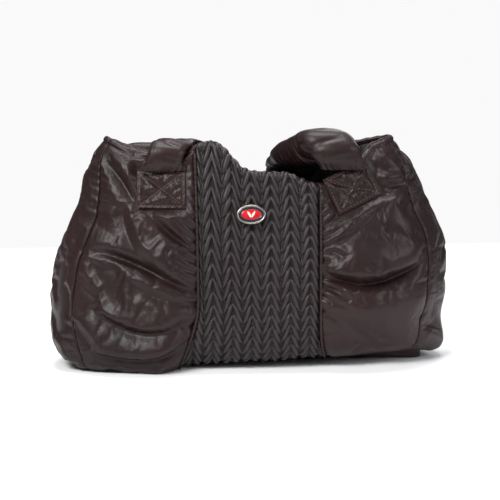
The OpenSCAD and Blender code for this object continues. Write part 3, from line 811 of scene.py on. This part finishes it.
def leaf_height(x, along):
    """Height of the quilting, from 0 in the stitched lines to 1 on a leaf's back."""
    wobble = 0.7 * np.sin(along / 23 + x / 31)
    column = (x + wobble - LEAF_X) / LEAF_PITCH
    p = np.abs(column - np.round(column)) * 2
    q = (-along - p * LEAF_RISE) / LEAF_STEP + 0.12 * np.sin(3.7 * np.round(column))
    t = 2 * (q - np.floor(q)) - 1
    width = np.sin(np.pi * np.clip(p, 0.01, 0.99)) ** 0.42
    return np.clip(1 - (np.abs(t) / width) ** 2.6, 0, 1) ** 0.5 * width ** 1.1


def band_row(face, share, off, trim=UNDER_RIM):
    """Points across the band at one share of the wall, evenly spaced between its two seams."""
    across = np.linspace(-1, 1, BAND_COLUMNS)
    side = np.where(across < 0, LEFT, RIGHT)
    share = np.full(across.shape, share)
    seam = np.where(side == LEFT, band_angle(LEFT, face, share), band_angle(RIGHT, face, share))
    n = squareness(wall(side * seam, share)[:, 2])
    b = side * np.degrees(np.arcsin(np.abs(across) ** (n / 2) * np.sin(np.radians(seam))))
    return wall(on_face(b, face), share, off, trim)


def band_rim(face, inwards):
    """The band's rows that turn over the mouth's edge."""
    knots = np.array([(BAND_OFF, UNDER_RIM)] + RIM_TURN)
    steps = np.arange(0.5, len(knots) - 1 + 0.01, 0.5)
    turn = [[np.interp(k, range(len(knots)), knots[:, c]) for c in (0, 1)] for k in steps]
    return np.array([band_row(face, 1.0, off + (6 if inwards else 0), trim) for off, trim in turn])


def band_strip(off, inwards=False):
    """The whole strip: over the front's rim, down the front, under the base, up the back and over its rim."""
    upper = np.linspace(1, FOOT, 190)
    foot = np.linspace(FOOT, 0, 90)[1:]
    front = np.array([band_row(FRONT, share, off) for share in np.concatenate([upper, foot])])
    back = np.array([band_row(BACK, share, off) for share in np.concatenate([foot[::-2], upper[::-2]])])
    under = np.array([lerp(front[-1], back[0], f) for f in np.linspace(0, 1, 60)[1:-1]])
    rims = band_rim(FRONT, inwards)[::-1], band_rim(BACK, inwards)
    return np.concatenate([rims[0], front, under, back, rims[1]])


def build_band():
    base = band_strip(BAND_OFF)
    out = normals(base)
    if out[100, 80, 1] > 0:
        out = -out
    along = length_across(base)
    height = leaf_height(base[..., 0], -along[:, None])
    column = np.arange(BAND_COLUMNS)
    from_seam = np.minimum(column, column[::-1]) / (BAND_COLUMNS - 1) * BAND_COLUMNS * BAND_STEP
    from_end = np.minimum(along, along[-1] - along)
    rim = (1 - np.exp(-from_seam / 2.5))[None, :] * (1 - np.exp(-from_end / 3.0))[:, None]
    puff = 2.2 * bumps(base, 60, 9)
    outer = settle(base + out * ((LEAF_H * height + puff) * rim)[..., None])
    outer[..., 2] = np.maximum(outer[..., 2], 0)
    skirt = settle(band_strip(8.5, True))
    outer[0], outer[-1] = skirt[0], skirt[-1]
    outer[:, 0], outer[:, -1] = skirt[:, 0], skirt[:, -1]
    band = make_mesh("quilted_band_cover", outer, grid_faces(*outer.shape[:2], flip=True), band_nylon)
    dress(band, "quilted", "quilted_band", "band_wadding", fill=0.5)
    # The quilt attribute is the quilting's height; the band's material paints shade into the stitched lines
    # where it is low.
    quilt_shade_mark = band.data.attributes.new("quilt", "FLOAT", "POINT")
    quilt_shade_mark.data.foreach_set("value", np.clip(height * rim, 0, 1).ravel().astype(np.float32))


build_band()

# ---- Base, piping, hem, lining ----


def build_base(side, *waddings):
    """A base panel: rings from its rim in to a point just beside the band."""
    seam = float(band_angle(side, FRONT, np.array(0.0)))
    rim = wall(side * np.linspace(seam, 180 - seam, 60), 0.0)[:, :2]
    middle = np.array([side * (BAND_HALF + BAND_FLARE + 2), 0.0])
    rings = []
    for f in np.linspace(1, 0, 16):
        ring = middle + (rim - middle) * f
        flat = np.column_stack([ring, np.zeros(len(ring))])
        lift = 0.3 + 0.9 * bumps(flat, 30, 5) * f * (1 - f) * 2
        rings.append(np.column_stack([ring, np.maximum(lift, 0)]))
    outer = settle(rings)
    title = f"{side_name(side)}_base_panel"
    piece = shell(f"{title}_puff", outer, outer + [0, 0, 7], nylon, flip=side == RIGHT)
    dress(piece, "nylon", title, *waddings, fill=0.5)


build_base(LEFT, "base_wadding")
build_base(RIGHT)


def ring_about(center, x_axis, y_axis, radii, count=12):
    """An oval ring of points round a centre."""
    a = np.linspace(0, 2 * np.pi, count, endpoint=False)[:, None]
    return center + radii[0] * np.cos(a) * x_axis + radii[1] * np.sin(a) * y_axis


def sweep(points, radius, count=10):
    """Rings along a path. radius is one number or one for each point."""
    points = np.asarray(points, float)
    radius = np.broadcast_to(radius, len(points))
    step = np.gradient(points, axis=0)
    rings = []
    for p, t, r in zip(points, step, radius):
        t = t / np.linalg.norm(t)
        x = np.cross(t, [0, 1, 0.01])
        x /= np.linalg.norm(x)
        rings.append(ring_about(p, x, np.cross(t, x), (r, r), count))
    return np.array(rings)


def join(objects, name):
    with bpy.context.temp_override(object=objects[0], active_object=objects[0], selected_objects=objects,
                                   selected_editable_objects=objects):
        bpy.ops.object.join()
    objects[0].name = name
    objects[0].data.name = name
    return objects[0]


def build_piping(side):
    """The cords along one side's two band seams, a little uneven."""
    parts = []
    for face in (FRONT, BACK):
        share = np.linspace(0.05, 0.985, 150)
        b = on_face(side * band_angle(side, face, share), face)
        path = settle(wall(b, share, -0.6, UNDER_RIM))
        radius = 1.5 + 0.25 * np.sin(np.arange(len(path)) * 1.9)
        parts.append(tube("piping", sweep(path, radius, 8), trim_cloth))
    dress(join(parts, f"{side_name(side)}_piping"), "trim", f"{side_name(side)}_band_piping")


build_piping(LEFT)
build_piping(RIGHT)


def build_hem(face):
    """The turned-over edge of the mouth: a soft roll with small puckers."""
    b = on_face(np.linspace(-89.6, 89.6, 420), face)
    across = wall(b, 1.0, WALL_T) - wall(b, 1.0)
    across /= np.linalg.norm(across, axis=1, keepdims=True)
    down = np.array([0, 0, -1.0])
    at_corner = np.abs(np.sin(np.radians(b))) ** 14
    middle = wall(b, 1.0, 9.4 - 5.2 * at_corner, 3.6)
    along = lengths(middle)
    pucker = 1 + 0.09 * np.sin(along / 2.2 + 2 * np.sin(along / 17))
    rings = [ring_about(m, x, down, (2.7 * p, 3.4 * p)) for m, x, p in zip(middle, across, pucker)]
    title = f"{face_name(face)}_hem"
    piece = tube(f"{title}_roll", rings, nylon)
    dress(piece, "trim", title)
    return piece


def build_lining(face):
    """One half of the lining, hanging from the hem with soft wrinkles."""
    rows, columns = 80, 150
    b = on_face(np.linspace(-90, 90, columns), face)
    grid = wall(b[None, :], np.linspace(0.04, 1, rows)[:, None], WALL_T + 0.6, 6.0)
    out = normals(grid)
    if out[rows // 2, columns // 2, 1] * face > 0:
        out = -out
    from_ends = np.sin(np.pi * np.linspace(0, 1, columns)) ** 0.3
    wrinkles = 1.3 * ridges(grid, 34, face) + 1.0 * bumps(grid, 20, 2)
    grid = grid + out * (wrinkles * from_ends)[..., None]
    title = f"lining_{face_name(face)}"
    piece = make_mesh(f"{title}_cloth", grid, grid_faces(rows, columns), lining_cloth)
    subdivide(piece)
    dress(piece, "lining", title, f"{face_name(face)}_facing")


front_hem, back_hem = build_hem(FRONT), build_hem(BACK)
build_lining(FRONT)
build_lining(BACK)
paint(lining_cloth, "lining_floor")
paint(trim_cloth, "left_mouth_elastic", "right_mouth_elastic")

# ---- Handles ----

FRONT_LEAD = (-51, 168)                 # lets a tilted strap end reach down over its tab
FRONT_CURVE = [(-40, 196), (-40.5, 206), (-39.5, 217), (-32, 226.5), (-20, 229.5), (-5, 226), (18, 214.5),
               (34, 202.5), (47, 191), (58, 172), (67, 146), (73.5, 112), (77.5, 76), (77.5, 30)]
BACK_LEAD = (43, 186)
BACK_CURVE = [(37.5, 197), (38, 203), (40, 210), (46, 216), (52, 211), (54, 200), (55.5, 185),
              (57.5, 165), (62, 140), (69, 110), (78.5, 80), (81.5, 50), (81.5, 10)]
STRAP_T = 12
LOOP_T = 13
SECTION = 52                            # points round a strap


class Strap:
    """A handle's side view, as (y, z): points along it by length from its tab, with their directions."""

    def __init__(self, curve, lead):
        curve = np.array([lead] + curve, float)
        knots = lengths(curve)
        self.knots = knots[1:] - knots[1]
        s = np.arange(-knots[1], self.knots[-1], 1.0)
        line = np.column_stack([np.interp(s, knots - knots[1], curve[:, k]) for k in (0, 1)])
        for _ in range(3):
            line[1:-1] = (line[:-2] + line[1:-1] + line[2:]) / 3
        self.s, self.line = s, line
        t = np.gradient(line, axis=0)
        self.tangent = t / np.linalg.norm(t, axis=1, keepdims=True)

    def at(self, x, s, n):
        """Points at x, s along the strap and n above its middle line."""
        y, z = (np.interp(s, self.s, self.line[:, k]) for k in (0, 1))
        ty, tz = (np.interp(s, self.s, self.tangent[:, k]) for k in (0, 1))
        return np.stack([x, y - tz * n, z + ty * n], -1)


front_strap, back_strap = Strap(FRONT_CURVE, FRONT_LEAD), Strap(BACK_CURVE, BACK_LEAD)
# Lengths at which the front strap bends over the mouth's front edge, and down behind the back one, and at
# which the back strap bends over it.
FRONT_BEND, OVER_BEND = front_strap.knots[4], front_strap.knots[8]
BACK_BEND = back_strap.knots[3]


def cross_creases(along, across, seed):
    """Dents that run in from either edge of a padded strap, about 15 mm apart."""
    dents = np.zeros((len(along), len(across)))
    place = 16 + 5 * math.sin(seed)
    while place < along[-1] - 12:
        edge = 1 if math.sin(place * 1.7 + seed) > 0 else -1
        reach = smooth(1.1 + 0.25 * math.sin(place) - (0.5 + edge * across))
        gap = along[:, None] - place + 3.5 * np.sin(3 * across + place)
        dents += reach * np.exp(-(gap / 2.6) ** 2)
        place += 15 + 6 * math.sin(2.4 * place)
    return dents


def even_path(path, step=1.7):
    """A strap's path with evenly spaced, softened points, and the length up to each."""
    along = lengths(path[:, :2])
    even = np.linspace(0, along[-1], max(8, int(along[-1] / step)))
    path = np.column_stack([np.interp(even, along, column) for column in path.T])
    for _ in range(4):
        path[1:-1] = (path[:-2] + 2 * path[1:-1] + path[2:]) / 4
    return path, even


def strap_body(name, strap, path, seed, ribs=0.0, sink=0.0):
    """A padded strap along [x, s, width, height above, height below] points, closed at both ends.

    ribs is the height of the gathers on its underside, where it is thick. sink is how far it sits below
    its curve at the bend.
    """
    path, along = even_path(np.array(path, float))
    step = np.gradient(path[:, :2], axis=0)
    step /= np.linalg.norm(step, axis=1, keepdims=True)
    a = np.linspace(0, 2 * np.pi, SECTION, endpoint=False)
    qx = np.sign(np.cos(a)) * np.abs(np.cos(a)) ** 0.8 / 2
    qy = np.sign(np.sin(a)) * np.abs(np.sin(a)) ** 0.9
    rings = []
    for (x, s, w, up, low), u in zip(path, step):
        side = lerp(np.array([1, 0]), np.array([u[1], -u[0]]), smooth(s / 30))
        across = qx * w
        gathers = 1.1 * np.exp(-max(s - 3, 0) / 9) * np.sin(across * 1.1 + 0.8 * np.sin(across))
        rib = ribs * np.sin(1.25 * s + 0.12 * x) * smooth((low - 6) / 4)
        n = qy * np.where(qy > 0, up, low) + gathers * (qy > 0) - rib * np.clip(-qy, 0, 1)
        rings.append(strap.at(x + side[0] * across, s + side[1] * across, n))
    rings = np.array(rings)
    rings[..., 2] -= sink * level(path[:, 1:2], FRONT_BEND, 22)
    out = rings - rings.mean(1, keepdims=True)
    out /= np.linalg.norm(out, axis=-1, keepdims=True)
    wrinkle = 1.5 * bumps(rings, 30, seed, 2) + 1.2 * (ridges(rings * [0.5, 1, 1], 40, seed) - 0.6)
    wrinkle = wrinkle * np.minimum(np.abs(qy) * 2, 1) - 2.3 * cross_creases(along, qx, seed)
    piece = tube(name, rings + out * wrinkle[..., None], nylon)
    subdivide(piece)
    return piece


def dress_strap(piece, fixed, moving, start, end, *nodes):
    """Bakes a strap's placement into its mesh and hides the CAD nodes it stands for. fixed, moving, start and
    end, the two bodies and the span where it bends, are not used.
    """
    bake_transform(piece)
    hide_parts(*nodes)


def glide(f):
    return smooth(1.5 * f - 0.25)


def front_half(starts, bend_x, loop_x, lift, belly, width, loop_w=TAB_W):
    """The two stretches of one front strap, parted halfway over the mouth.

    starts has its x at the tab and on the way up. lift is how high its top stands over its middle line
    at the bend, belly how far it sags over the mouth, and width how wide it is at the bend.
    """
    middle = (FRONT_BEND + OVER_BEND) / 2
    low_at_bend = (11 - lift * 0.45) * 0.8
    rise = []
    for t in np.linspace(0, 1, 26):
        full = smooth(t * 2.6)
        x = np.interp(t, [0, 0.75, 1], starts + [bend_x])
        up = lerp(1, lerp(9, lift, t), full ** 0.6)
        rise.append((x, lerp(1, FRONT_BEND, t), lerp(TAB_W, width, full), up, lerp(0.5, low_at_bend, full)))
    over = []
    for t in np.linspace(0, 1, 26)[1:]:
        x = lerp(bend_x, loop_x, glide(t))
        sag = math.sin(math.pi * min(1, 0.12 + t)) ** 0.8
        low = lerp(low_at_bend, LOOP_T / 2, t) + belly * sag
        over.append((x, lerp(FRONT_BEND, OVER_BEND, t), lerp(width, loop_w, t),
                     lerp(lift, LOOP_T / 2, t), low))
    path = rise + [p for p in over if p[1] <= middle]
    rest = [(x, s, w - 1.2, up - 0.5, low - 0.5) for x, s, w, up, low in over if s >= middle - 7]
    return path, rest


def loop_path(bend, radius, drop, height):
    """A handle's loop: down, round and up again, starting at the bend."""
    down = [(-radius, bend + drop * f, TAB_W, height, height) for f in np.linspace(0, 0.96, 12)]
    a = np.linspace(math.pi, 2 * math.pi, 30)
    turn = [(radius * math.cos(t), bend + drop - radius * math.sin(t), TAB_W, height, height) for t in a]
    return down + turn + mirrored(down)


def mirrored(path):
    """The other end of a handle, from its loop back to its tab."""
    return [(-x, *rest) for x, *rest in path[::-1]]


left_path, left_rest = front_half([-89, -80], -74, -44, 3.5, 0, 35)
right_path, right_rest = front_half([93, 75], 69, 47, 9.5, 21, 47, 56)
at_bend = front_strap.at(np.array(0.0), FRONT_BEND, 0.0)
for strap_side, strap_path, strap_sink in ((LEFT, left_path, 5.0), (RIGHT, right_path, 0.0)):
    title = f"front_{side_name(strap_side)}"
    end_piece = strap_body(f"{title}_strap", front_strap, strap_path, 11, ribs=0.9, sink=strap_sink)
    dress_strap(end_piece, "bag", "front_bridge", at_bend + [0, -12, -2], at_bend + [0, 12, -2],
                f"{title}_rise", f"{title}_bridge")

front_loop_path = left_rest + loop_path(OVER_BEND, 44, 48, LOOP_T / 2)[1:-1] + right_rest[::-1]
front_loop = strap_body("front_loop", front_strap, front_loop_path, 11, ribs=0.9)
at_over = front_strap.at(np.array(0.0), OVER_BEND, 0.0)
dress_strap(front_loop, "front_bridge", "front_loop", at_over + [0, -9, 8], at_over + [0, 7, -11],
            "front_loop_top", "front_loop_underside", "front_loop_core")

BACK_LOOP_R = 100
BACK_DROP = 72
rise_s, rise_t = np.linspace(1, BACK_BEND - 1, 8), np.linspace(1.8, 4, 8)
back_rise = [(-BACK_LOOP_R, s, TAB_W, t, t) for s, t in zip(rise_s, rise_t)]
back_loop = []
for x, s, w, up, _ in loop_path(BACK_BEND, BACK_LOOP_R, BACK_DROP, STRAP_T / 2):
    thick = min(up, 4 + (s - BACK_BEND) * 0.3)
    back_loop.append((x, s, w, thick, thick))
back_handle = strap_body("back_handle_strap", back_strap, back_rise + back_loop + mirrored(back_rise), 31)
at_fold = back_strap.at(np.array(0.0), BACK_BEND, 0.0)
dress_strap(back_handle, "bag", "back_handle", at_fold, at_fold + [0, 5.5, -1.65],
            "back_left_rise", "back_right_rise", "back_loop_top", "back_loop_underside", "back_loop_core")

# ---- Sewn tabs and their stitching ----

SEW_IN = 3                              # how far inside a tab's edge its stitching runs
STITCH = 3.4                            # length of one stitch and the gap after it


def on_wall(face, x, z, off):
    """Points of one face of the wall at x and z."""
    n = squareness(z)
    b = np.arcsin(np.clip((np.abs(x) / half_width(z)) ** (n / 2), 0, 1))
    return np.stack([x, face * (half_depth(z) - off) * np.cos(b) ** (2 / n), z], -1)


def tab_grid(spot, off, count=44):
    """Points of a tab that lies on the wall, with their places u and v from its middle."""
    x0, z0, tilt, face = spot
    a = math.radians(tilt)
    u, v = np.meshgrid(np.linspace(-TAB_W / 2, TAB_W / 2, count), np.linspace(-TAB_H / 2, TAB_H / 2, count))
    x = x0 + u * math.cos(a) - v * math.sin(a)
    z = z0 + u * math.sin(a) + v * math.cos(a)
    return on_wall(face, x, z, off), u, v


def tab_height(u, v, seed):
    """How far a tab's cloth stands up: crumpled, and pulled down along its stitching."""
    spots = np.stack([u, v, np.zeros_like(u)], -1)
    box_line = np.minimum(np.abs(np.abs(u) - TAB_W / 2 + SEW_IN), np.abs(np.abs(v) - TAB_H / 2 + SEW_IN))
    slope = (TAB_H - 10) / (TAB_W - 10)
    cross_line = np.minimum(np.abs(v - u * slope), np.abs(v + u * slope)) / math.hypot(1, slope)
    line = np.minimum(box_line, cross_line)
    gathers = 0.9 * np.sin(1.9 * u + 1.3 * np.sin(u)) * np.exp(-(TAB_H / 2 - np.abs(v)) / 7)
    crumple = 2.4 * ridges(spots, 15, seed) + 1.2 * bumps(spots, 10, seed) + gathers
    rim = np.minimum(TAB_W / 2 - np.abs(u), TAB_H / 2 - np.abs(v))
    return 0.2 + (1 - np.exp(-line / 2.2)) * (1.0 + crumple) * (0.35 + 0.65 * smooth(rim / 3))


def build_tab(spot, name, node, seed):
    """A tab of crumpled cloth. Returns the points of its outer face, for the stitching."""
    flat, u, v = tab_grid(spot, -0.2)
    face = spot[3]
    height = tab_height(u, v, seed)
    outer = flat + np.stack([np.zeros_like(height), face * height, 0.25 * height], -1)
    piece = shell(name, outer, tab_grid(spot, 1.5)[0], nylon, flip=face > 0)
    subdivide(piece)
    dress(piece, "nylon", node, fill=0.3)
    return outer


def stitch(a, b, ring_count=6, radius=0.42):
    """One stitch from a to b: a short thread with rounded ends."""
    f = np.array([0, 0.15, 0.5, 0.85, 1])
    thick = np.array([0.15, 0.8, 1, 0.8, 0.15]) * radius
    return sweep([lerp(a, b, t) for t in f], thick, ring_count)


def on_tab(spot, outer, u, v):
    """The point just over a tab's cloth at u and v from its middle."""
    count = len(outer)
    j = (u / TAB_W + 0.5) * (count - 1)
    i = (v / TAB_H + 0.5) * (count - 1)
    j0, i0 = int(min(j, count - 2)), int(min(i, count - 2))
    top = lerp(outer[i0, j0], outer[i0, j0 + 1], j - j0)
    low = lerp(outer[i0 + 1, j0], outer[i0 + 1, j0 + 1], j - j0)
    return lerp(top, low, i - i0) + [0, spot[3] * 0.3, 0]


def tab_stitches(spot, outer):
    """The stitches of one tab: a box, and a cross whose ends stop short of its corners."""
    x, z = TAB_W / 2 - SEW_IN, TAB_H / 2 - SEW_IN
    box = [((-x, -z), (x, -z)), ((x, -z), (x, z)), ((x, z), (-x, z)), ((-x, z), (-x, -z))]
    cross = [((-x + 2, -z + 2), (x - 2, z - 2)), ((-x + 2, z - 2), (x - 2, -z + 2))]
    stitches = []
    for (u0, v0), (u1, v1) in box + cross:
        steps = int(math.hypot(u1 - u0, v1 - v0) / STITCH)
        for k in range(steps):
            ends = [on_tab(spot, outer, lerp(u0, u1, f), lerp(v0, v1, f))
                    for f in ((k + 0.12) / steps, (k + 0.82) / steps)]
            stitches.append(stitch(*ends))
    return stitches


def build_stitching(spots, outers, name, node):
    """All the stitches of one face's tabs, as one piece of many solids."""
    points, faces = [], []
    for spot, outer in zip(spots, outers):
        for rings in tab_stitches(spot, outer):
            faces += grid_faces(*rings.shape[:2], sum(len(p) for p in points), loop=True)
            points.append(rings.reshape(-1, 3))
    dress(make_mesh(name, np.concatenate(points), faces, thread), "thread", node)


tab_names = ["front_left_tab", "front_right_tab", "back_left_tab", "back_right_tab"]
tab_outers = [build_tab(spot, f"{name}_cloth", name, 40 + i)
              for i, (spot, name) in enumerate(zip(TAB_SPOTS, tab_names))]
build_stitching(TAB_SPOTS[:2], tab_outers[:2], "front_stitches", "front_tab_stitching")
build_stitching(TAB_SPOTS[2:], tab_outers[2:], "back_stitches", "back_tab_stitching")

# ---- Badge and snap ----

badge_low, badge_high = edges("badge_frame")
BADGE_W = badge_high[0] - badge_low[0]
BADGE_H = badge_high[2] - badge_low[2]
BADGE_Z = (badge_low[2] + badge_high[2]) / 2
badge_centre = np.array([(badge_low[0] + badge_high[0]) / 2, badge_low[1] - 1.5, BADGE_Z])
badge_lean = math.atan((half_depth(144) - half_depth(164)) / 20)
badge_turn = np.array(Matrix.Rotation(math.radians(90) - badge_lean, 3, "X"))

# Sections of the badge's pieces, as (inset from its rim, height).
FRAME_SECTION = [(2.5, -2.2), (0.4, -2.2), (0, -1.6), (0, 1.0), (0.35, 1.6), (0.9, 1.8), (1.5, 1.6),
                 (1.9, 1.0), (2.0, 0.4)]
DARK_SECTION = [(1.9, 0.5), (1.95, 0.95), (2.4, 1.1), (4.0, 1.1), (4.4, 0.95), (4.45, 0.5)]
RED_SECTION = [(4.45, 0.6), (4.5, 1.15), (4.8, 1.3), (6, 1.45), (7.5, 1.55)]
LEAF = [(0.2, -3.4), (1.6, -2.2), (3.3, 0.2), (4.0, 3.0), (2.4, 2.2), (0.9, 0.4), (0.2, -1.6)]
LEAF_LAYERS = [(1.0, 1.3), (1.0, 1.85), (0.86, 2.1)]    # its scale at each height


def on_badge(rings):
    return [np.array(ring) @ badge_turn.T + badge_centre for ring in rings]


def oval_lathe(name, section, material, slot, node, count=96):
    """A piece with the same section all round the badge's oval."""
    a = np.linspace(0, 2 * np.pi, count, endpoint=False)
    rings = [np.column_stack([(BADGE_W / 2 - inset) * np.cos(a), (BADGE_H / 2 - inset) * np.sin(a),
                              np.full(count, height)]) for inset, height in section]
    dress(tube(name, on_badge(rings), material), slot, node)


def build_emblem():
    """Two leaves that meet at the bottom, as in the quilting."""
    leaves = []
    for side in (LEFT, RIGHT):
        rings = [[(side * x * f, z * f + (1 - f) * 0.3, height) for x, z in LEAF]
                 for f, height in LEAF_LAYERS]
        leaves.append(tube("leaf", on_badge(rings), cream_enamel))
    dress(join(leaves, "badge_leaves"), "cream_enamel", "badge_emblem")


oval_lathe("badge_rim", FRAME_SECTION, silver, "silver", "badge_frame")
oval_lathe("badge_dark", DARK_SECTION, dark_enamel, "dark_enamel", "badge_dark_enamel")
oval_lathe("badge_red", RED_SECTION, red_enamel, "red_enamel", "badge_red_enamel")
build_emblem()
paint(silver, "badge_prongs", "badge_washer", "snap_socket", "snap_stud", "snap_washers")
paint(magnet_metal, "snap_magnet")
